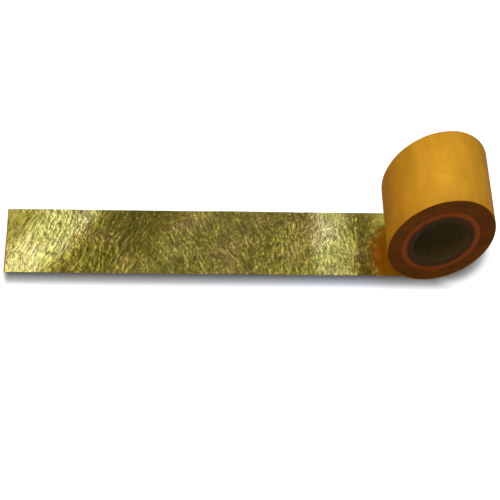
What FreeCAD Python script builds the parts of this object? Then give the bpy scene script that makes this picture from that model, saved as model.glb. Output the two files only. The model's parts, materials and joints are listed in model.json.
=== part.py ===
"""A part-unrolled roll of metallic sign tape on a paperboard core, as a FreeCAD parametric document.

The tape is a laminate: a thin metallic face film on a paper carrier. It is wound film side inwards on a
core, leaves the roll at its lowest line and runs along the table towards -X, film side up.

Frame: +Z up, +Y along the core's axis, +X away from the tape's free end. The origin is on the table,
straight below the core's axis, at the middle of the tape's width. Units are millimetres.
"""
import FreeCAD
import Part
import os
import sys

import Sketcher
from FreeCAD import Placement, Rotation, Vector

# alias, value, what it is. Every other size follows from these.
DRIVING_SIZES = [
    ("tape_width", 80.0, "width of the slit tape, and length of the core"),
    ("carrier_thick", 0.16, "paper carrier"),
    ("film_thick", 0.08, "metallic face film with its adhesive"),
    ("bond_gap", 0.01, "room left between one layer and the next"),
    ("bore_dia", 50.8, "inside of the core, for a 2 inch spindle"),
    ("lining_thick", 0.6, "smooth paper lining of the bore"),
    ("board_thick", 4.6, "grey board tube"),
    ("kraft_thick", 6.0, "brown kraft sleeve round the board tube"),
    ("wound_turns", 49, "whole turns of tape still wound on the core"),
    ("running_gap", 0.05, "room between the wound turns and the outer turn that leads off"),
    ("tab_thick", 0.1, "adhesive tab that holds the first turn to the core"),
    ("tab_width", 70.0, "the tab's length along the core"),
    ("tab_angle", 55, "part of the core's girth that the tab covers, in degrees"),
    ("flat_length", 290.0, "tape lying flat, from the core's axis to the first curl joint"),
    ("tail_drift", 4.3, "how far the flat tape has wandered towards +Y from the roll's own line"),
    ("tuck_length", 6.0, "how far the flat tape reaches under the roll, past its contact line"),
    ("link_length", 22.0, "one rigid link of the tape's curling end"),
    ("end_length", 40.0, "the last link, which has the free end"),
    ("lip_length", 28.0, "film at the free end that peels off its carrier"),
    ("roll_clearance", 0.02, "height of the roll above the tape it stands on"),
]
# alias, formula, what it is
DERIVED_SIZES = [
    ("pitch", "=carrier_thick + film_thick + 2 * bond_gap", "growth of the radius in one turn"),
    ("bore_radius", "=bore_dia / 2", "bore"),
    ("board_in", "=bore_radius + lining_thick", "inside of the board tube"),
    ("kraft_in", "=board_in + board_thick", "inside of the kraft sleeve"),
    ("core_radius", "=kraft_in + kraft_thick", "outside of the finished core"),
    ("tab_in", "=core_radius + bond_gap", "inside of the adhesive tab"),
    ("tab_out", "=tab_in + tab_thick", "outside of the adhesive tab"),
    ("wind_in", "=tab_out + bond_gap", "inside of the first wound turn"),
    ("film_base", "=carrier_thick + bond_gap", "height of the film's underside on the flat tape"),
    ("tape_thick", "=film_base + film_thick", "both layers of the tape"),
    ("wind_end", "=wind_in + wound_turns * pitch", "inside of the wound tape's last end"),
    ("turn_in", "=wind_end + tape_thick + running_gap", "inside of the outer turn"),
    ("roll_radius", "=turn_in + pitch + tape_thick", "outside of the outer turn where it ends"),
    ("axis_height", "=tape_thick + roll_clearance + roll_radius", "core's axis above the table"),
]
CURL_LINKS = 6  # the last one is end_length long, the others link_length

doc = FreeCAD.newDocument("SignTapeRoll")
sheet = doc.addObject("Spreadsheet::Sheet", "Sizes")


def fill_sheet():
    """Words in column A; plain numbers and the formulas that follow from them in column B."""
    for row, (alias, value, words) in enumerate(DRIVING_SIZES + DERIVED_SIZES, start=1):
        sheet.set(f"A{row}", words)
        sheet.set(f"B{row}", str(value))
        sheet.setAlias(f"B{row}", alias)
    doc.recompute()


def size(alias):
    return float(sheet.get(alias))


def bind(thing, **formulas):
    """Ties properties to the sheet: bind(box, Length="Sizes.tape_width"). A double underscore is a dot."""
    for name, formula in formulas.items():
        thing.setExpression(name.replace("__", "."), formula)


def core_tube(label, inner, outer):
    """One tube of the core: a ring sketched across the axis and padded both ways along it."""
    body = doc.addObject("PartDesign::Body", label)
    xz_plane = next(f for f in body.Origin.OriginFeatures if f.Role == "XZ_Plane")
    ring = body.newObject("Sketcher::SketchObject", label + "_ring")
    ring.AttachmentSupport = (xz_plane, "")
    ring.MapMode = "FlatFace"
    for alias in (inner, outer):
        circle = ring.addGeometry(Part.Circle(Vector(), Vector(0, 0, 1), size(alias)))
        ring.addConstraint(Sketcher.Constraint("Coincident", circle, 3, -1, 1))
        radius = ring.addConstraint(Sketcher.Constraint("Radius", circle, size(alias)))
        ring.setExpression(f"Constraints[{radius}]", "Sizes." + alias)
    pad = body.newObject("PartDesign::Pad", label + "_pad")
    pad.Profile = ring
    pad.Midplane = True
    bind(pad, Length="Sizes.tape_width")
    body.Tip = pad
    bind(body, Placement__Base__z="Sizes.axis_height")
    return body


def start_tab():
    """The adhesive tab under the start of the first turn: a sector of a thin tube round the core's foot."""
    sector = doc.addObject("Part::Cylinder", "tab_sector")
    bind(sector, Radius="Sizes.tab_out", Height="Sizes.tab_width", Angle="Sizes.tab_angle")
    core_room = doc.addObject("Part::Cylinder", "tab_core_room")
    bind(core_room, Radius="Sizes.tab_in", Height="Sizes.tab_width")
    tab = doc.addObject("Part::Cut", "start_tab")
    tab.Base, tab.Tool = sector, core_room
    along_axis = Rotation(Vector(1, 0, 0), -90)
    sideways_to_foot = Rotation(Vector(0, 1, 0), 90 - size("tab_angle") / 2)
    tab.Placement.Rotation = sideways_to_foot * along_axis
    bind(tab, Placement__Base__y="-Sizes.tab_width / 2", Placement__Base__z="Sizes.axis_height")
    return tab


def spiral_ribbon(label, inner_radius, thickness, turns):
    """One layer of wound tape as a continuous ribbon, from the bottom of its first turn outwards.

    Each half turn is an arc. Arcs on the left and right have their centres a quarter of the pitch
    above and below the core's axis, so that they meet smoothly and every turn is one pitch further out.
    """
    step = size("pitch") / 2
    inner_arcs, outer_arcs = [], []
    for half in range(2 * turns):
        on_left = half % 2 == 0
        side, centre_z = (-1, step / 2) if on_left else (1, -step / 2)
        for arcs, radius in (
            (inner_arcs, inner_radius + step / 2 + half * step),
            (outer_arcs, inner_radius + step / 2 + half * step + thickness),
        ):
            arcs.append(
                Part.Arc(
                    Vector(0, 0, centre_z + side * radius),
                    Vector(side * radius, 0, centre_z),
                    Vector(0, 0, centre_z - side * radius),
                )
            )
    first_end = Part.LineSegment(inner_arcs[0].StartPoint, outer_arcs[0].StartPoint)
    last_end = Part.LineSegment(inner_arcs[-1].EndPoint, outer_arcs[-1].EndPoint)
    outline = [first_end] + inner_arcs + [last_end] + outer_arcs
    wire = Part.Wire(Part.__sortEdges__([curve.toShape() for curve in outline]))
    ribbon = doc.addObject("Part::Feature", label)
    ribbon.Shape = Part.Face(wire).extrude(Vector(0, size("tape_width"), 0))
    ribbon.Placement = Placement(Vector(0, -size("tape_width") / 2, size("axis_height")), Rotation())
    return ribbon


def wound_layers(prefix, inner_radius, turns):
    """Film and carrier wound together, the film on the inside."""
    carrier_in = inner_radius + size("film_thick") + size("bond_gap")
    return [
        spiral_ribbon(prefix + "_film", inner_radius, size("film_thick"), turns),
        spiral_ribbon(prefix + "_carrier", carrier_in, size("carrier_thick"), turns),
    ]


def flat_piece(label, left, length, base, thickness):
    """A flat length of one layer, its left end at -left from the core's axis. All four are formulas."""
    box = doc.addObject("Part::Box", label)
    bind(box, Length=length, Width="Sizes.tape_width", Height=thickness)
    bind(box, Placement__Base__x=f"-({left})")
    bind(box, Placement__Base__y="Sizes.tail_drift - Sizes.tape_width / 2")
    bind(box, Placement__Base__z=base)
    return box


def carrier_piece(label, left, length):
    return flat_piece(label, left, length, "0 mm", "Sizes.carrier_thick")


def film_piece(label, left, length):
    return flat_piece(label, left, length, "Sizes.film_base", "Sizes.film_thick")


def flat_tape():
    """The tape that lies still on the table, with its right end tucked under the roll."""
    left, length = "Sizes.flat_length", "Sizes.flat_length + Sizes.tuck_length"
    return [carrier_piece("flat_carrier", left, length), film_piece("flat_film", left, length)]


def curling_end():
    """The free end, as links that meet at their hinge lines. The last link's film ends in the peeling lip."""
    pieces = []
    for number in range(1, CURL_LINKS):
        left = f"Sizes.flat_length + {number} * Sizes.link_length"
        pieces.append(carrier_piece(f"curl_carrier_{number}", left, "Sizes.link_length"))
        pieces.append(film_piece(f"curl_film_{number}", left, "Sizes.link_length"))
    free_end = f"Sizes.flat_length + {CURL_LINKS - 1} * Sizes.link_length + Sizes.end_length"
    held_length = "Sizes.end_length - Sizes.lip_length"
    pieces.append(carrier_piece(f"curl_carrier_{CURL_LINKS}", free_end, "Sizes.end_length"))
    pieces.append(film_piece(f"curl_film_{CURL_LINKS}", free_end + " - Sizes.lip_length", held_length))
    pieces.append(film_piece("film_lip", free_end, "Sizes.lip_length"))
    return pieces


def check(pieces):
    """Stops the build if any object failed or any piece isn't a valid closed shape."""
    failed = [o.Name for o in doc.Objects if "Invalid" in o.State or "Error" in o.State]
    for piece in pieces:
        shape = piece.Shape
        if shape.isNull() or not shape.isValid() or not shape.Solids or shape.Volume <= 0:
            failed.append(piece.Label)
    if failed:
        sys.exit("these objects failed: " + ", ".join(failed))


def main():
    fill_sheet()
    pieces = [
        core_tube("core_lining", "bore_radius", "board_in"),
        core_tube("core_board", "board_in", "kraft_in"),
        core_tube("core_kraft", "kraft_in", "core_radius"),
        start_tab(),
    ]
    pieces += wound_layers("wound", size("wind_in"), int(size("wound_turns")))
    pieces += wound_layers("outer_turn", size("turn_in"), 1)
    pieces += flat_tape()
    pieces += curling_end()
    doc.recompute()
    check(pieces)
    os.makedirs("parts", exist_ok=True)
    for piece in pieces:
        piece.Shape.exportStep(f"parts/{piece.Label}.step")
        print(f"{piece.Label:18} {piece.Shape.Volume:12.1f} mm3")


main()
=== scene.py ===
import json
import math

import bmesh
import bpy
import numpy as np
from mathutils import Matrix, Vector

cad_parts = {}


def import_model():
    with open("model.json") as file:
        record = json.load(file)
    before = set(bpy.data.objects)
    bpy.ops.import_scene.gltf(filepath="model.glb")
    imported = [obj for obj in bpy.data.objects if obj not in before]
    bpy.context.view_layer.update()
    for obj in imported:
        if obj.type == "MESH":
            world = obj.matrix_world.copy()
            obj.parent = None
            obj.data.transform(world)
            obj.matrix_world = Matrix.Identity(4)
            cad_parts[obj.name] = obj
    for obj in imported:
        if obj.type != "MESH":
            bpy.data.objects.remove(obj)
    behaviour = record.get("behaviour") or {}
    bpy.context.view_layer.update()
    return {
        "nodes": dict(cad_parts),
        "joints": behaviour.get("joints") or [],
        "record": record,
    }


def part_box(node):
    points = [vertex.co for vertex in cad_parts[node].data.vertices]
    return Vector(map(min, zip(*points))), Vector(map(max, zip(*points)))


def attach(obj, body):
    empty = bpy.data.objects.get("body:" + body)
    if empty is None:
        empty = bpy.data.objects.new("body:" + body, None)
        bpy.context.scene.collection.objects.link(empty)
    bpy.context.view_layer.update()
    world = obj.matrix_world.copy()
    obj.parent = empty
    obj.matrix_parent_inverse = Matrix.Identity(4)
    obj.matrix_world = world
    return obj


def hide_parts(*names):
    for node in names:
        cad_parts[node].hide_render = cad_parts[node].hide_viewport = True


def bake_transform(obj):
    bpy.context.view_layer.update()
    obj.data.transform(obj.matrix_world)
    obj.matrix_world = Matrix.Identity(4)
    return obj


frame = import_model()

# Lengths are in metres. X runs along the tape: its free end is on the left, and the roll stands on it at
# x = 0. Y runs along the roll's axis, and the roll's front face has the lowest y. The table is at z = 0.
MM = 0.001
RANDOM = np.random.default_rng(7)
JOINTS = {joint["name"]: joint for joint in frame["joints"]}
BORE = next(mount for mount in frame["record"]["mounts"] if mount["name"] == "core_bore")
AXIS_Z = BORE["pos_m"][2]
BORE_R = BORE["dims"]["r_mm"] * MM


def half_height(node):
    low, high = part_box(node)
    return (high.z - low.z) / 2


# Outer radii of the roll's rings, from the core outwards.
LINING_R = half_height("core_lining")
BOARD_R = half_height("core_board")
KRAFT_R = half_height("core_kraft")
PACK_R = half_height("wound_carrier")
SKIN_R = half_height("outer_turn_carrier")
SKIN_LOW, SKIN_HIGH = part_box("outer_turn_carrier")
ROLL_FRONT, ROLL_BACK = SKIN_LOW.y, SKIN_HIGH.y
WIDTH = ROLL_BACK - ROLL_FRONT

# The tape: gold film on a paper carrier, with a thin layer of adhesive between them.
FILM_LOW, FILM_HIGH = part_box("flat_film")
CARRIER_LOW, CARRIER_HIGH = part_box("flat_carrier")
FREE_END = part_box("film_lip")[0].x
LAYERS = [
    ("film", FILM_LOW.z, FILM_HIGH.z, "gold_film"),
    ("carrier", CARRIER_LOW.z, CARRIER_HIGH.z, "orange_carrier"),
]
ADHESIVE = FILM_LOW.z - CARRIER_HIGH.z
LAMINATE = FILM_HIGH.z - CARRIER_LOW.z
PITCH = LAMINATE + ADHESIVE
TURNS = round((PACK_R - KRAFT_R) / PITCH)

# The free end curls at a row of hinges, and the film's last stretch peels off the carrier.
LINK_COUNT = 6
HINGE_NAMES = ["tail_curl"] + [f"tail_curl_{number}" for number in range(2, LINK_COUNT + 1)]
HINGE_X = [JOINTS[name]["pos_m"][0] for name in HINGE_NAMES]
HALF_LINK = (HINGE_X[0] - HINGE_X[1]) / 2

GRID = 1.0 * MM
REST_PLACE = "rest_place"


# ---------------------------------------------------------------- node helpers
class Shader:
    """A node tree of a material or the world, with short ways to add and join nodes."""

    def __init__(self, name, for_world=False):
        store, output = (bpy.data.worlds, "World") if for_world else (bpy.data.materials, "Material")
        self.owner = store.new(name)
        self.owner.use_nodes = True
        self.tree = self.owner.node_tree
        self.tree.nodes.clear()
        self.output = self.tree.nodes.new("ShaderNodeOutput" + output)

    def put(self, socket, value):
        if isinstance(value, bpy.types.NodeSocket):
            self.tree.links.new(value, socket)
        elif value is not None:
            if hasattr(socket.default_value, "__len__") and len(socket.default_value) == 4:
                value = (*value[:3], 1.0)
            socket.default_value = value

    def node(self, kind, inputs=None, **settings):
        made = self.tree.nodes.new(kind)
        for key, value in settings.items():
            setattr(made, key, value)
        for key, value in (inputs or {}).items():
            self.put(made.inputs[key], value)
        return made

    def math(self, operation, a, b=None, clamp=False):
        made = self.node("ShaderNodeMath", operation=operation, use_clamp=clamp)
        self.put(made.inputs[0], a)
        self.put(made.inputs[1], b)
        return made.outputs[0]

    def add(self, a, b):
        return self.math("ADD", a, b)

    def subtract(self, a, b):
        return self.math("SUBTRACT", a, b)

    def multiply(self, a, b):
        return self.math("MULTIPLY", a, b)

    def inverse(self, value):
        """1 for 0 and 0 for 1."""
        return self.subtract(1.0, value)

    def between(self, value, low, high):
        """0 below low, 1 above high, smooth between."""
        return self.node(
            "ShaderNodeMapRange",
            {"Value": value, "From Min": low, "From Max": high},
            interpolation_type="SMOOTHSTEP",
        ).outputs[0]

    def share_of(self, value, whole):
        """0 at and below 0, 1 at and above the whole, straight between."""
        return self.math("DIVIDE", value, whole, clamp=True)

    def vector_math(self, operation, a, b=None):
        made = self.node("ShaderNodeVectorMath", operation=operation)
        self.put(made.inputs[0], a)
        self.put(made.inputs[1], b)
        return made.outputs["Value" if operation == "LENGTH" else "Vector"]

    def tinted(self, a, b):
        """One colour or vector times another."""
        return self.vector_math("MULTIPLY", a, b)

    def separate(self, vector):
        return self.node("ShaderNodeSeparateXYZ", {"Vector": vector}).outputs

    def grey(self, colour):
        """A grey colour as one number."""
        return self.node("ShaderNodeSeparateColor", {"Color": colour}).outputs[0]

    def place(self, attribute=None):
        """Object-space position, or the rest position stored on the mesh under the attribute's name."""
        if attribute:
            return self.node("ShaderNodeAttribute", attribute_name=attribute).outputs["Vector"]
        return self.node("ShaderNodeTexCoord").outputs["Object"]

    def mapped(self, vector, scale=(1, 1, 1), turn=(0, 0, 0), move=(0, 0, 0)):
        return self.node(
            "ShaderNodeMapping", {"Vector": vector, "Scale": scale, "Rotation": turn, "Location": move}
        ).outputs[0]

    def noise(self, vector, scale, detail=3.0, roughness=0.5):
        """Soft noise, 0 to 1. The scale is in patches per metre."""
        return self.node(
            "ShaderNodeTexNoise",
            {"Vector": vector, "Scale": scale, "Detail": detail, "Roughness": roughness},
        ).outputs[0]

    def ramp(self, value, stops):
        """A colour ramp. Each stop is (place, colour) or (place, grey)."""
        made = self.node("ShaderNodeValToRGB", {"Fac": value})
        elements = made.color_ramp.elements
        while len(elements) < len(stops):
            elements.new(0.5)
        for element, (at, colour) in zip(elements, stops):
            if isinstance(colour, (int, float)):
                colour = (colour,) * 3
            element.position = at
            element.color = (*colour, 1.0)
        return made.outputs[0]

    def mix(self, share, a, b):
        """Colour a at share 0, colour b at share 1."""
        made = self.node("ShaderNodeMix", data_type="RGBA")
        factor, colour_a, colour_b = made.inputs[0], made.inputs[6], made.inputs[7]
        self.put(factor, share)
        self.put(colour_a, a)
        self.put(colour_b, b)
        return made.outputs[2]

    def bump(self, height, distance, strength=1.0, normal=None):
        inputs = {"Height": height, "Distance": distance, "Strength": strength}
        if normal is not None:
            inputs["Normal"] = normal
        return self.node("ShaderNodeBump", inputs).outputs[0]

    def principled(self, **inputs):
        shader = self.node("ShaderNodeBsdfPrincipled")
        for key, value in inputs.items():
            self.put(shader.inputs[key.replace("_", " ")], value)
        return shader.outputs[0]

    def close(self, surface):
        self.tree.links.new(surface, self.output.inputs["Surface"])
        return self.owner

    def finish(self, **inputs):
        """Ends a material with a principled surface and returns the material."""
        return self.close(self.principled(**inputs))


# ---------------------------------------------------------------- gold foil
FOIL_CREASE = 1.0 * MM
FOIL_WAVE = 3.0 * MM
ROLL_RISE = 8.0 * MM
FOIL_ROUGHNESS = 0.17


def bent_place(s, place):
    """The place pushed about by slow noise, so that nothing on the foil runs straight."""
    drift = s.node("ShaderNodeTexNoise", {"Vector": place, "Scale": 22.0, "Detail": 2.0}).outputs["Color"]
    drift = s.vector_math("SUBTRACT", drift, (0.5, 0.5, 0.5))
    reach = 20.0 * MM
    return s.vector_math("ADD", place, s.tinted(drift, (reach, reach, 0.0)))


def streaks(s, place, angle, across, along):
    """Noise drawn out along one direction of the tape. across and along are patches per metre."""
    turned = s.mapped(place, turn=(0, 0, math.radians(angle)))
    return s.noise(s.mapped(turned, scale=(across, along, across)), 1.0, 3.0, 0.55)


def foil_creases(s, place, bent):
    """Height of the crumpled film, 0 to 1: fine crinkle, and long creases whose lean changes."""
    from_end = s.subtract(s.separate(bent)[0], FREE_END)
    end_lean = streaks(s, bent, 24, 340.0, 52.0)
    back_lean = streaks(s, bent, -24, 350.0, 66.0)
    upright = streaks(s, bent, -4, 390.0, 84.0)
    long_creases = s.mix(s.between(from_end, 0.13, 0.19), end_lean, back_lean)
    long_creases = s.mix(s.between(from_end, 0.24, 0.32), long_creases, upright)
    crinkle = s.noise(s.mapped(bent, scale=(1.0, 0.7, 1.0)), 300.0)
    patchy = s.between(s.noise(place, 40.0, 2.0), 0.38, 0.62)
    least_share, extra_share = 0.20, 0.40
    share = s.add(s.multiply(patchy, extra_share), least_share)
    return s.grey(s.mix(share, long_creases, crinkle))


def foil_stretch(s, bent):
    """0 at the free end, 1 under the roll. Its lines slant across the tape, except near the roll."""
    x, y = s.separate(bent)[:2]
    slant = s.multiply(s.inverse(s.between(x, -0.26, -0.16)), -0.75)
    slanted = s.add(x, s.multiply(y, slant))
    return s.math("DIVIDE", s.subtract(slanted, FREE_END), -FREE_END)


def foil_colour(s, place, stretch, creases, painted_light_and_depth, near_roll):
    """Painted light and shade on the film: a shaded olive copy of the gold in its dull stretches and pale
    gold in its painted bright ones, painted shade in the creases and painted highlights on their tops, and a
    painted brightening of the roll's reflection near the roll.
    """
    tone = s.noise(s.mapped(place, move=(3.1, 0.0, 0.0)), 24.0)
    pale = s.ramp(tone, [(0.32, (0.60, 0.56, 0.16)), (0.50, (0.74, 0.66, 0.22)), (0.66, (0.86, 0.68, 0.34))])
    # a shaded copy of the gold, for the stretches painted dull
    shaded_gold = s.tinted(pale, (0.60, 0.54, 0.27))
    # painted shine: where the film is painted as catching light, and where it mirrors the roll
    painted_shine = s.math("MAXIMUM", s.between(painted_light_and_depth, 0.30, 0.95), near_roll)
    colour = s.mix(painted_shine, shaded_gold, pale)
    # painted brightness along the tape, ending in a warm painted brightening of the roll's reflection near
    # the roll
    painted_brightness = s.ramp(stretch, [
        (0.0, 0.78), (0.05, 0.98), (0.155, 1.08), (0.20, 0.66), (0.29, 0.72), (0.37, 1.08), (0.62, 1.06),
        (0.68, 0.92), (0.735, 0.92), (0.765, 1.15), (0.81, 1.10), (0.86, 1.0), (0.94, (1.85, 1.62, 0.80)),
    ])
    # painted shade in the creases and painted highlights on their tops; none where the film mirrors the roll
    painted_crease_shade = s.ramp(creases, [(0.38, 0.55), (0.50, 0.92), (0.60, 1.35), (0.68, 2.0)])
    painted_crease_shade = s.mix(near_roll, painted_crease_shade, (1.0, 1.0, 1.0))
    colour = s.tinted(colour, s.tinted(painted_brightness, painted_crease_shade))
    brightest = (0.95, 0.95, 0.95)
    return s.vector_math("MINIMUM", colour, brightest)


def gold_foil(name, attribute=None):
    """Crinkled metallic film. Its creases grow calm near the roll, where it mirrors the roll's underside. Its
    colour carries painted light and shade along the tape and in the creases.
    """
    s = Shader(name)
    place = s.place(attribute)
    bent = bent_place(s, place)
    creases = foil_creases(s, place, bent)
    stretch = foil_stretch(s, bent)
    # painted light along the tape: how brightly each stretch is painted; the same numbers also set how deep
    # the creases are
    painted_light_and_depth = s.grey(s.ramp(stretch, [
        (0.0, 0.45), (0.05, 0.80), (0.13, 0.85), (0.19, 0.15), (0.31, 0.18), (0.38, 0.50),
        (0.62, 0.45), (0.73, 0.42), (0.77, 0.95), (0.81, 0.75), (0.86, 0.35), (1.0, 0.05),
    ]))
    # where the film mirrors the roll: painted pale, with no painted crease shade
    near_roll = s.between(stretch, 0.86, 0.93)
    calm = s.multiply(s.between(stretch, 0.80, 0.90), 0.84)
    depth = s.multiply(s.add(s.multiply(painted_light_and_depth, 0.5), 0.75), s.inverse(calm))
    fine = s.bump(s.multiply(depth, s.multiply(creases, FOIL_CREASE)), 1.0)
    rise = s.multiply(s.between(s.separate(bent)[0], -0.085, -0.005), ROLL_RISE / FOIL_WAVE)
    normal = s.bump(s.add(s.noise(place, 15.0), rise), FOIL_WAVE, normal=fine)
    colour = foil_colour(s, place, stretch, creases, painted_light_and_depth, near_roll)
    return s.finish(Base_Color=colour, Metallic=1.0, Roughness=FOIL_ROUGHNESS, Normal=normal)


# ---------------------------------------------------------------- paper and board
def orange_paper(name, attribute=None):
    """Satin orange paper with faint mottling, bands across the tape and fibres."""
    s = Shader(name)
    place = s.place(attribute)
    mottle = s.noise(place, 95.0, 4.0, 0.6)
    cloud = s.noise(place, 24.0, 2.0)
    fibre = s.noise(s.mapped(place, scale=(1.0, 0.35, 1.0)), 900.0, 3.0, 0.6)
    bands = s.noise(s.mapped(place, scale=(1.0, 0.2, 1.0)), 75.0, 3.0, 0.6)
    colour = s.ramp(mottle, [
        (0.25, (0.50, 0.192, 0.006)), (0.55, (0.56, 0.222, 0.008)), (0.8, (0.62, 0.255, 0.012)),
    ])
    colour = s.mix(s.multiply(cloud, 0.35), colour, (0.49, 0.172, 0.006))
    colour = s.tinted(colour, s.ramp(bands, [(0.35, 0.90), (0.65, 1.07)]))
    height = s.add(s.multiply(mottle, 0.5), s.multiply(fibre, 0.5))
    return s.finish(
        Base_Color=colour,
        Roughness=s.ramp(mottle, [(0.3, 0.42), (0.7, 0.55)]),
        Specular_IOR_Level=0.02,
        Normal=s.bump(height, 0.4 * MM, 0.5),
    )


def axis_radius(s, place):
    """Distance of a point from the roll's axis."""
    across = s.tinted(s.vector_math("SUBTRACT", place, (0, 0, AXIS_Z)), (1, 0, 1))
    return s.vector_math("LENGTH", across)


def layered_edge(name, dark, light, rings_per_metre, shaded_to=None):
    """The edge of many turns or plies: fine uneven rings round the roll's axis.
    shaded_to is the radius up to which the edge is darker."""
    s = Shader(name)
    place = s.place()
    radius = axis_radius(s, place)
    wander = s.multiply(s.noise(place, 60.0, 2.0), 1.2 * MM)
    outwards = s.multiply(s.add(radius, wander), rings_per_metre)
    ring = s.node(
        "ShaderNodeTexNoise", {"W": outwards, "Scale": 1.0, "Detail": 3.0}, noise_dimensions="1D"
    ).outputs[0]
    smudge = s.noise(place, 70.0, 3.0, 0.6)
    tone = s.add(s.multiply(ring, 0.65), s.multiply(smudge, 0.35))
    colour = s.ramp(tone, [(0.32, dark), (0.68, light)])
    if shaded_to:
        share = s.between(radius, shaded_to - 3.0 * MM, shaded_to)
        colour = s.mix(share, s.tinted(colour, (0.40, 0.52, 0.60)), colour)
    fuzz = s.noise(place, 1500.0, 2.0)
    height = s.add(ring, s.multiply(fuzz, 0.6))
    return s.finish(
        Base_Color=colour,
        Roughness=0.8,
        Specular_IOR_Level=0.12,
        Normal=s.bump(height, 0.3 * MM, 0.6),
    )


def bore_paper(name):
    """Smooth brown paper wound in a spiral inside the core, with a faint seam, and painted shade on its rims,
    where it faces along the axis.
    """
    s = Shader(name)
    place = s.place()
    x, y, z = s.separate(s.vector_math("SUBTRACT", place, (0, 0, AXIS_Z)))
    strip_width = 62.0 * MM
    turn = s.math("DIVIDE", s.math("ARCTAN2", z, x), 2 * math.pi)
    strip = s.math("FRACT", s.add(s.math("DIVIDE", y, strip_width), turn))
    seam = s.math("LESS_THAN", s.math("ABSOLUTE", s.subtract(strip, 0.5)), 0.008)
    fibre = s.noise(s.mapped(place, scale=(1.0, 0.3, 1.0)), 420.0, 4.0, 0.6)
    colour = s.ramp(fibre, [(0.3, (0.12, 0.080, 0.022)), (0.7, (0.17, 0.115, 0.034))])
    colour = s.mix(s.multiply(seam, 0.3), colour, (0.03, 0.022, 0.012))
    # painted shade on the rims, where the surface faces along the axis, to tone down their light
    facing_y = s.separate(s.node("ShaderNodeNewGeometry").outputs["Normal"])[1]
    painted_rim_shade = s.between(s.math("ABSOLUTE", facing_y), 0.20, 0.60)
    colour = s.mix(painted_rim_shade, colour, (0.062, 0.042, 0.016))
    height = s.subtract(fibre, s.multiply(seam, 0.5))
    return s.finish(
        Base_Color=colour,
        Roughness=0.6,
        Specular_IOR_Level=0.15,
        Normal=s.bump(height, 0.3 * MM, 0.6),
    )


def clear_tab(name):
    """Glossy adhesive tape, almost white, with faint mottling."""
    s = Shader(name)
    mottle = s.noise(s.place(), 180.0, 3.0, 0.6)
    colour = s.ramp(mottle, [(0.3, (0.78, 0.75, 0.62)), (0.7, (0.88, 0.86, 0.76))])
    return s.finish(Base_Color=colour, Roughness=0.2, Normal=s.bump(mottle, 0.2 * MM, 0.5))


# ---------------------------------------------------------------- shapes
def mesh_piece(name, vertices, faces, material):
    """A smooth piece that also stores where its vertices are at rest, for materials on tape that bends."""
    mesh = bpy.data.meshes.new(name)
    mesh.from_pydata([tuple(vertex) for vertex in vertices], [], faces)
    mesh.update()
    rest = mesh.attributes.new(REST_PLACE, "FLOAT_VECTOR", "POINT")
    rest.data.foreach_set("vector", np.asarray(vertices, np.float32).ravel())
    mesh.polygons.foreach_set("use_smooth", [True] * len(mesh.polygons))
    mesh.materials.append(material)
    piece = bpy.data.objects.new(name, mesh)
    bpy.context.scene.collection.objects.link(piece)
    return piece


def face_outwards(piece):
    work = bmesh.new()
    work.from_mesh(piece.data)
    bmesh.ops.recalc_face_normals(work, faces=work.faces)
    work.to_mesh(piece.data)
    work.free()


def lathe(name, profile, material, segments=240, wobble=None):
    """Turns a closed profile of (radius, y) points about the roll's axis. wobble(angle, index) shifts y."""
    vertices = []
    for angle in np.linspace(0, 2 * math.pi, segments, endpoint=False):
        for index, (radius, y) in enumerate(profile):
            shift = wobble(angle, index) if wobble else 0.0
            vertices.append((radius * math.sin(angle), y + shift, AXIS_Z - radius * math.cos(angle)))
    count = len(profile)
    faces = []
    for segment in range(segments):
        here, there = segment * count, (segment + 1) % segments * count
        for index in range(count):
            following = (index + 1) % count
            faces.append((here + index, there + index, there + following, here + following))
    piece = mesh_piece(name, vertices, faces, material)
    face_outwards(piece)
    return piece


def fine_profile(points, longest):
    """Adds points so that no side of the closed profile is longer than asked."""
    made = []
    for (r0, y0), (r1, y1) in zip(points, points[1:] + points[:1]):
        steps = max(1, math.ceil(math.hypot(r1 - r0, y1 - y0) / longest))
        made += [(r0 + (r1 - r0) * k / steps, y0 + (y1 - y0) * k / steps) for k in range(steps)]
    return made


def rounded_ring(inner, outer, round_off):
    """A tube's closed profile with its four edges rounded off."""
    corners = [
        (inner, ROLL_FRONT, 1, 1),
        (outer, ROLL_FRONT, -1, 1),
        (outer, ROLL_BACK, -1, -1),
        (inner, ROLL_BACK, 1, -1),
    ]
    arc_steps = 4
    made = []
    for index, (radius, y, toward_r, toward_y) in enumerate(corners):
        arc = []
        for k in range(arc_steps + 1):
            turn = math.radians(90) * k / arc_steps
            inwards = round_off * (1 - math.cos(turn))
            along = round_off * (1 - math.sin(turn))
            arc.append((radius + toward_r * inwards, y + toward_y * along))
        if index in (1, 3):
            arc.reverse()
        made += arc
    return made


# ---------------------------------------------------------------- the tape
# Each crumple of the relief: (radians per metre, direction, phase, height).
CRUMPLES = [
    (RANDOM.uniform(0.8, 1.2) * math.pi / length, RANDOM.normal(lean, 0.5), RANDOM.uniform(0, 6.28), height)
    for length, lean, height in [
        (17.0 * MM, 0.9, 0.10 * MM), (11.0 * MM, 1.3, 0.07 * MM), (7.0 * MM, 1.5, 0.05 * MM),
        (5.2 * MM, 1.9, 0.035 * MM), (13.0 * MM, 2.2, 0.06 * MM), (9.0 * MM, 0.6, 0.05 * MM),
    ]
]
PRESSED_TO = -12.0 * MM
CALMING = 30.0 * MM


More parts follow.
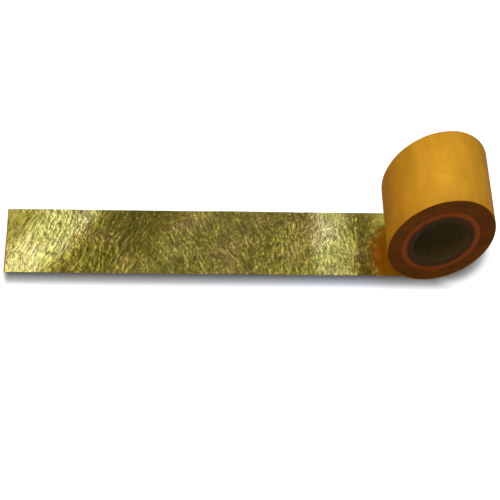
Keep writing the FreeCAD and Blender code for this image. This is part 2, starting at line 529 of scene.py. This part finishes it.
def relief(x, y):
    """Height of the crumpled tape above its flat place: crumples, and edges that lift here and there.
    It dies away before the place where the roll presses on the tape."""
    total = np.zeros_like(x)
    for waves, lean, phase, height in CRUMPLES:
        total += height * np.abs(np.sin((x * math.cos(lean) + y * math.sin(lean)) * waves + phase))
    from_middle = np.abs(y - (FILM_LOW.y + FILM_HIGH.y) / 2) / (WIDTH / 2)
    lift = (0.12 + 0.14 * np.sin(x * 31.0 + 1.0) + 0.10 * np.sin(x * 57.0)) * MM
    total += np.clip(lift, 0, None) * from_middle ** 4
    free = np.clip((PRESSED_TO - x) / CALMING, 0, 1)
    return total * free * free * (3 - 2 * free)


def sheet(name, x_from, x_to, z_low, z_high, material):
    """A length of tape as a thin closed sheet that follows the relief."""
    nx = max(2, round((x_to - x_from) / GRID) + 1)
    ny = round(WIDTH / GRID) + 1
    x, y = np.meshgrid(np.linspace(x_from, x_to, nx), np.linspace(FILM_LOW.y, FILM_HIGH.y, ny), indexing="ij")
    z = relief(x, y)
    top = np.stack([x, y, z + z_high], -1).reshape(-1, 3)
    low = np.stack([x, y, z + z_low], -1).reshape(-1, 3)
    vertices = [tuple(vertex) for vertex in np.concatenate([top, low])]
    under = nx * ny
    faces = []
    for i in range(nx - 1):
        for j in range(ny - 1):
            a, b, c, d = i * ny + j, (i + 1) * ny + j, (i + 1) * ny + j + 1, i * ny + j + 1
            faces.append((a, b, c, d))
            faces.append((under + d, under + c, under + b, under + a))
    front = [i * ny for i in range(nx)]
    right = [(nx - 1) * ny + j for j in range(ny)]
    back = [i * ny + ny - 1 for i in reversed(range(nx))]
    left = list(reversed(range(ny)))
    for side in (front, right, back, left):
        start = len(vertices)
        vertices += [vertices[k] for k in side] + [vertices[under + k] for k in side]
        for k in range(start, start + len(side) - 1):
            faces.append((k, k + len(side), k + len(side) + 1, k + 1))
    return mesh_piece(name, vertices, faces, material)


def tape_length(stem, x_from, x_to, materials, stands_for):
    """Film and carrier over one length of tape, between two x places."""
    for layer, low, high, slot in LAYERS:
        piece = sheet(f"{stem}_{layer}", x_from, x_to, low, high, materials[layer])
        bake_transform(piece)
        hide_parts(stands_for.format(layer=layer))


def build_curling_end(materials):
    """The free end's links. Each length reaches from halfway along one link to halfway along the next."""
    for number, hinge in enumerate(HINGE_X, start=1):
        first = number == 1
        left = hinge - HALF_LINK
        right = hinge if first else hinge + HALF_LINK
        stands_for = "curl_{layer}_" + str(number)
        tape_length(f"tape_end_{number}", left, right, materials, stands_for)


def build_lip(materials):
    """The last stretch, where the film peels off the carrier. The carrier shows as a fine line at the end."""
    last_link = f"curl_link_{LINK_COUNT}"
    right = HINGE_X[-1] - HALF_LINK
    line = 1.2 * MM
    lip = sheet("tape_lip_film", FREE_END + line, right, FILM_LOW.z, FILM_HIGH.z, materials["film"])
    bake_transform(lip)
    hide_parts("film_lip")
    base = sheet("tape_lip_carrier", FREE_END, right, CARRIER_LOW.z, CARRIER_HIGH.z, materials["carrier"])
    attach(base, last_link)


def build_tape():
    flat = {"film": gold_foil("gold_foil_flat"), "carrier": orange_paper("orange_paper_flat")}
    curling = {
        "film": gold_foil("gold_foil_curl", REST_PLACE),
        "carrier": orange_paper("orange_paper_curl", REST_PLACE),
    }
    first_hinge = HINGE_X[0]
    tape_length("tape_run", first_hinge, FILM_HIGH.x, flat,
                "flat_{layer}")
    build_curling_end(curling)
    build_lip(curling)


# ---------------------------------------------------------------- the roll
PACK_SHIFTS = np.cumsum(RANDOM.normal(0, 0.05, TURNS + 1)) * MM
POINTS_PER_TURN = 3


def pack_profile():
    """Closed profile of the wound turns: every turn's edge is a small flat step with a groove after it."""
    step_depth, groove_depth = 0.12 * MM, 0.34 * MM
    shifts = PACK_SHIFTS - PACK_SHIFTS.mean()
    front, back = [], []
    for turn in range(TURNS):
        inner = KRAFT_R + 0.12 * MM + turn * PITCH
        outer = inner + PITCH * 0.72
        groove = inner + PITCH * 0.86
        proud = shifts[turn] + RANDOM.normal(0, 0.05) * MM
        for radius, depth in ((inner, step_depth), (outer, step_depth), (groove, groove_depth)):
            front.append((radius, ROLL_FRONT + depth + proud))
            back.append((radius, ROLL_BACK - depth + proud))
    return front + back[::-1]


def pack_wobble():
    """Every turn's edge sways a little to and fro once round the roll, each in its own phase."""
    sway = 0.05 * MM
    phases = RANDOM.uniform(0, 6.28, 2 * TURNS * POINTS_PER_TURN + 2)

    def wobble(angle, index):
        return sway * math.sin(angle + phases[index // POINTS_PER_TURN])
    return wobble


def skin_wobble(angle, index):
    """The outermost turn's edge wanders slightly. Every point of its profile moves alike."""
    return 0.12 * MM * math.sin(3 * angle + 1) + 0.07 * MM * math.sin(11 * angle)


def build_outer_turn():
    inner = PACK_R + 0.1 * MM
    corners = [(inner, ROLL_FRONT), (SKIN_R, ROLL_FRONT), (SKIN_R, ROLL_BACK), (inner, ROLL_BACK)]
    paper = orange_paper("orange_paper_roll")
    outer = lathe("outer_turn", fine_profile(corners, GRID), paper, 360, skin_wobble)
    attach(outer, "lead_off")
    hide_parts("outer_turn_carrier", "outer_turn_film")


def build_pack():
    edge = layered_edge("wound_edge", (0.12, 0.033, 0.0035), (0.31, 0.097, 0.010), 3800.0)
    pack = lathe("wound_pack", pack_profile(), edge, wobble=pack_wobble())
    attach(pack, "roll")
    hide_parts("wound_carrier", "wound_film")


def build_tube(name, inner, outer, round_off, material, node):
    piece = lathe(name, rounded_ring(inner, outer, round_off), material)
    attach(piece, "roll")
    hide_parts(node)


def build_core():
    plies_per_metre = 2600.0
    kraft = layered_edge("kraft_edge", (0.26, 0.050, 0.007), (0.40, 0.088, 0.013), plies_per_metre,
                         BOARD_R + 2.8 * MM)
    board = layered_edge("board_edge", (0.056, 0.030, 0.009), (0.100, 0.052, 0.018), plies_per_metre)
    lining = bore_paper("bore_paper")
    build_tube("core_sleeve", BOARD_R, KRAFT_R, 0.5 * MM, kraft, "core_kraft")
    build_tube("core_tube", LINING_R, BOARD_R, 0.4 * MM, board, "core_board")
    build_tube("core_bore", BORE_R, LINING_R, 0.15 * MM, lining, "core_lining")


def dress_start_tab():
    """The adhesive tab between the core and the first turn is the CAD's own node with a better material."""
    material = clear_tab("clear_tab")
    for material_slot in frame["nodes"]["start_tab"].material_slots:
        material_slot.material = material


# ---------------------------------------------------------------- the floor and its painted shadow
TAPE_SHADOW_REACH = 17.0 * MM
ROLL_SHADOW_MIDDLE = (11.0 * MM, 1.5 * MM, 0.0)
ROLL_SHADOW_RADII = (59.0 * MM, 44.0 * MM, 1.0)
FLOOR_HALF = 6.0


def marker(body):
    """An unseen point at the origin that moves with a body, so that the floor's painted shadow can follow it.
    """
    made = bpy.data.objects.new(f"shadow_of_{body}", None)
    bpy.context.scene.collection.objects.link(made)
    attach(made, body)
    return made


def seen_from(s, body):
    """The floor's x, y and z as the body sees them."""
    return s.separate(s.node("ShaderNodeTexCoord", object=marker(body)).outputs["Object"])


def tape_shadow(s, y, free_end, roll):
    """0 to 1: the painted shadow, a dark band close in front of the flat tape. It fades where the free end
    lifts.
    """
    in_front = s.inverse(s.share_of(s.subtract(FILM_LOW.y, y), TAPE_SHADOW_REACH))
    not_behind = s.inverse(s.between(y, FILM_LOW.y + 20 * MM, FILM_LOW.y + 50 * MM))
    past_end = s.between(free_end[0], FREE_END - 3 * MM, FREE_END + 6 * MM)
    before_roll = s.inverse(s.between(roll[0], 10 * MM, 40 * MM))
    not_lifted = s.inverse(s.between(s.multiply(free_end[2], -1.0), 2 * MM, 12 * MM))
    band = s.multiply(s.multiply(in_front, not_behind), s.multiply(past_end, before_roll))
    return s.multiply(band, not_lifted)


def roll_shadow(s, y, roll):
    """0 to 1: a painted soft shadow, an oval under the roll."""
    place = s.node("ShaderNodeCombineXYZ", {"X": roll[0], "Y": y}).outputs[0]
    from_middle = s.vector_math("SUBTRACT", place, ROLL_SHADOW_MIDDLE)
    reach = s.vector_math("LENGTH", s.vector_math("DIVIDE", from_middle, ROLL_SHADOW_RADII))
    return s.multiply(s.inverse(s.between(reach, 0.76, 1.20)), 0.92)


def floor_material():
    """Pale and matt. The camera sees it as almost white, with a soft shadow painted close to the object."""
    s = Shader("pale_floor")
    place = s.place()
    y = s.separate(place)[1]
    free_end = seen_from(s, "curl_link_1")
    roll = seen_from(s, "lead_off")
    shade = s.math("MAXIMUM", tape_shadow(s, y, free_end, roll), roll_shadow(s, y, roll))
    # how far the painted shadow darkens the floor
    dimmed = s.ramp(shade, [
        (0.0, 1.0), (0.06, 0.80), (0.18, 0.68), (0.29, 0.55), (0.41, 0.40), (0.53, 0.31),
        (0.65, 0.24), (0.77, 0.17), (0.88, 0.12), (1.0, 0.085),
    ])
    seen = s.tinted(s.ramp(s.noise(place, 3.0, 2.0), [(0.3, 0.54), (0.7, 0.57)]), dimmed)
    direct = s.node("ShaderNodeLightPath").outputs["Is Camera Ray"]
    mirrored = (0.70, 0.70, 0.70)
    surface = s.principled(
        Base_Color=s.mix(direct, mirrored, seen),
        Roughness=0.9,
        Specular_IOR_Level=0.05,
        Emission_Color=dimmed,
        Emission_Strength=s.multiply(direct, 0.95),
    )
    return s.close(surface)


def floor():
    corners = [(x * FLOOR_HALF, y * FLOOR_HALF, 0) for x, y in ((-1, -1), (1, -1), (1, 1), (-1, 1))]
    mesh = bpy.data.meshes.new("floor")
    mesh.from_pydata(corners, [], [(0, 1, 2, 3)])
    mesh.materials.append(floor_material())
    made = bpy.data.objects.new("floor", mesh)
    bpy.context.scene.collection.objects.link(made)


# ---------------------------------------------------------------- light and camera
def area_light(name, place, target, size, power, colour, mirrored=True):
    """A rectangular lamp that the camera doesn't see. The foil shows it only if it is mirrored."""
    light = bpy.data.lights.new(name, "AREA")
    light.shape = "RECTANGLE"
    light.size, light.size_y = size
    light.energy = power
    light.color = colour
    made = bpy.data.objects.new(name, light)
    made.location = place
    made.rotation_euler = (Vector(target) - Vector(place)).to_track_quat("-Z", "Y").to_euler()
    made.visible_glossy = mirrored
    made.visible_camera = False
    bpy.context.scene.collection.objects.link(made)


def lights():
    """Four lamps that light the matt surfaces, and two tall panels that the foil's creases mirror."""
    roll_middle = (0, 0, AXIS_Z)
    area_light("key", (0, 0, 1.40), (0, 0, 0), (0.7, 0.9), 2.0, (1.0, 0.98, 0.94), False)
    area_light("roll_top", (-0.020, 0, 0.195), roll_middle, (0.06, 0.18), 0.148, (0.76, 1.06, 2.4), False)
    area_light("left_fill", (-0.62, 0.02, 0.07), roll_middle, (0.25, 0.08), 0.46, (1.0, 0.92, 0.75), False)
    face_middle = (0, ROLL_FRONT, AXIS_Z)
    area_light("front_fill", (-0.30, -1.0, 0.40), face_middle, (0.35, 0.25), 1.1, (1.0, 0.98, 0.92), False)
    area_light("left_panel", (-0.86, 1.10, 1.15), (-0.3, 0, 0), (0.42, 0.9), 1.5, (0.96, 1.0, 0.90))
    area_light("right_panel", (0.34, 1.10, 1.15), (-0.1, 0, 0), (0.10, 0.9), 0.66, (0.98, 1.0, 0.94))


def world():
    """A dim room with lighter patches, which the foil's creases mirror. The camera sees plain white."""
    s = Shader("studio", for_world=True)
    direction = s.node("ShaderNodeTexCoord").outputs["Generated"]
    patches = s.noise(s.mapped(direction, scale=(1.0, 1.0, 0.7)), 8.5, 2.0)
    room = s.ramp(patches, [
        (0.38, (0.04, 0.04, 0.035)), (0.52, (0.16, 0.16, 0.14)), (0.60, (0.50, 0.50, 0.45)),
        (0.68, (1.60, 1.58, 1.45)),
    ])
    direct = s.node("ShaderNodeLightPath").outputs["Is Camera Ray"]
    colour = s.mix(direct, room, (1.0, 1.0, 1.0))
    background = s.node("ShaderNodeBackground", {"Color": colour, "Strength": 1.0})
    bpy.context.scene.world = s.close(background.outputs[0])


EYE_IN_RADII = (-5.1702, -10.1018, 11.9088)
FOCAL_LENGTH_MM = 48.42
LENS_SHIFT = {"shift_x": 0.1205, "shift_y": 0.7087}


def camera():
    """A camera that looks steeply down from the front left, with its lens shifted to centre the object.
    The shift belongs to this place only: drivers switch it off when the camera is moved for another view."""
    eye = Vector((0, ROLL_FRONT, 0)) + SKIN_R * Vector(EYE_IN_RADII)
    down, yaw, tilt = math.radians(75.57), math.radians(4.56), math.radians(4.40)
    forward = Vector((math.sin(yaw) * math.cos(down), math.cos(yaw) * math.cos(down), -math.sin(down)))
    level_right = Vector((math.cos(yaw), -math.sin(yaw), 0))
    level_up = level_right.cross(forward)
    right = level_right * math.cos(tilt) + level_up * math.sin(tilt)
    up = level_up * math.cos(tilt) - level_right * math.sin(tilt)
    lens = bpy.data.cameras.new("camera")
    lens.lens = FOCAL_LENGTH_MM
    lens.sensor_width = 36.0
    lens.clip_start, lens.clip_end = 0.01, 50.0
    made = bpy.data.objects.new("camera", lens)
    turn = Matrix((right, up, -forward)).transposed()
    made.matrix_world = Matrix.Translation(eye) @ turn.to_4x4()
    bpy.context.scene.collection.objects.link(made)
    bpy.context.scene.camera = made
    for channel, shift in LENS_SHIFT.items():
        driver = lens.driver_add(channel).driver
        height = driver.variables.new()
        height.name = "height"
        height.targets[0].id = made
        height.targets[0].data_path = "location[2]"
        driver.expression = f"{shift} if abs(height - {eye.z:.5f}) < 0.0002 else 0.0"


build_tape()
build_outer_turn()
build_pack()
build_core()
dress_start_tab()
floor()
world()
lights()
camera()
bpy.context.scene.view_settings.view_transform = "Standard"
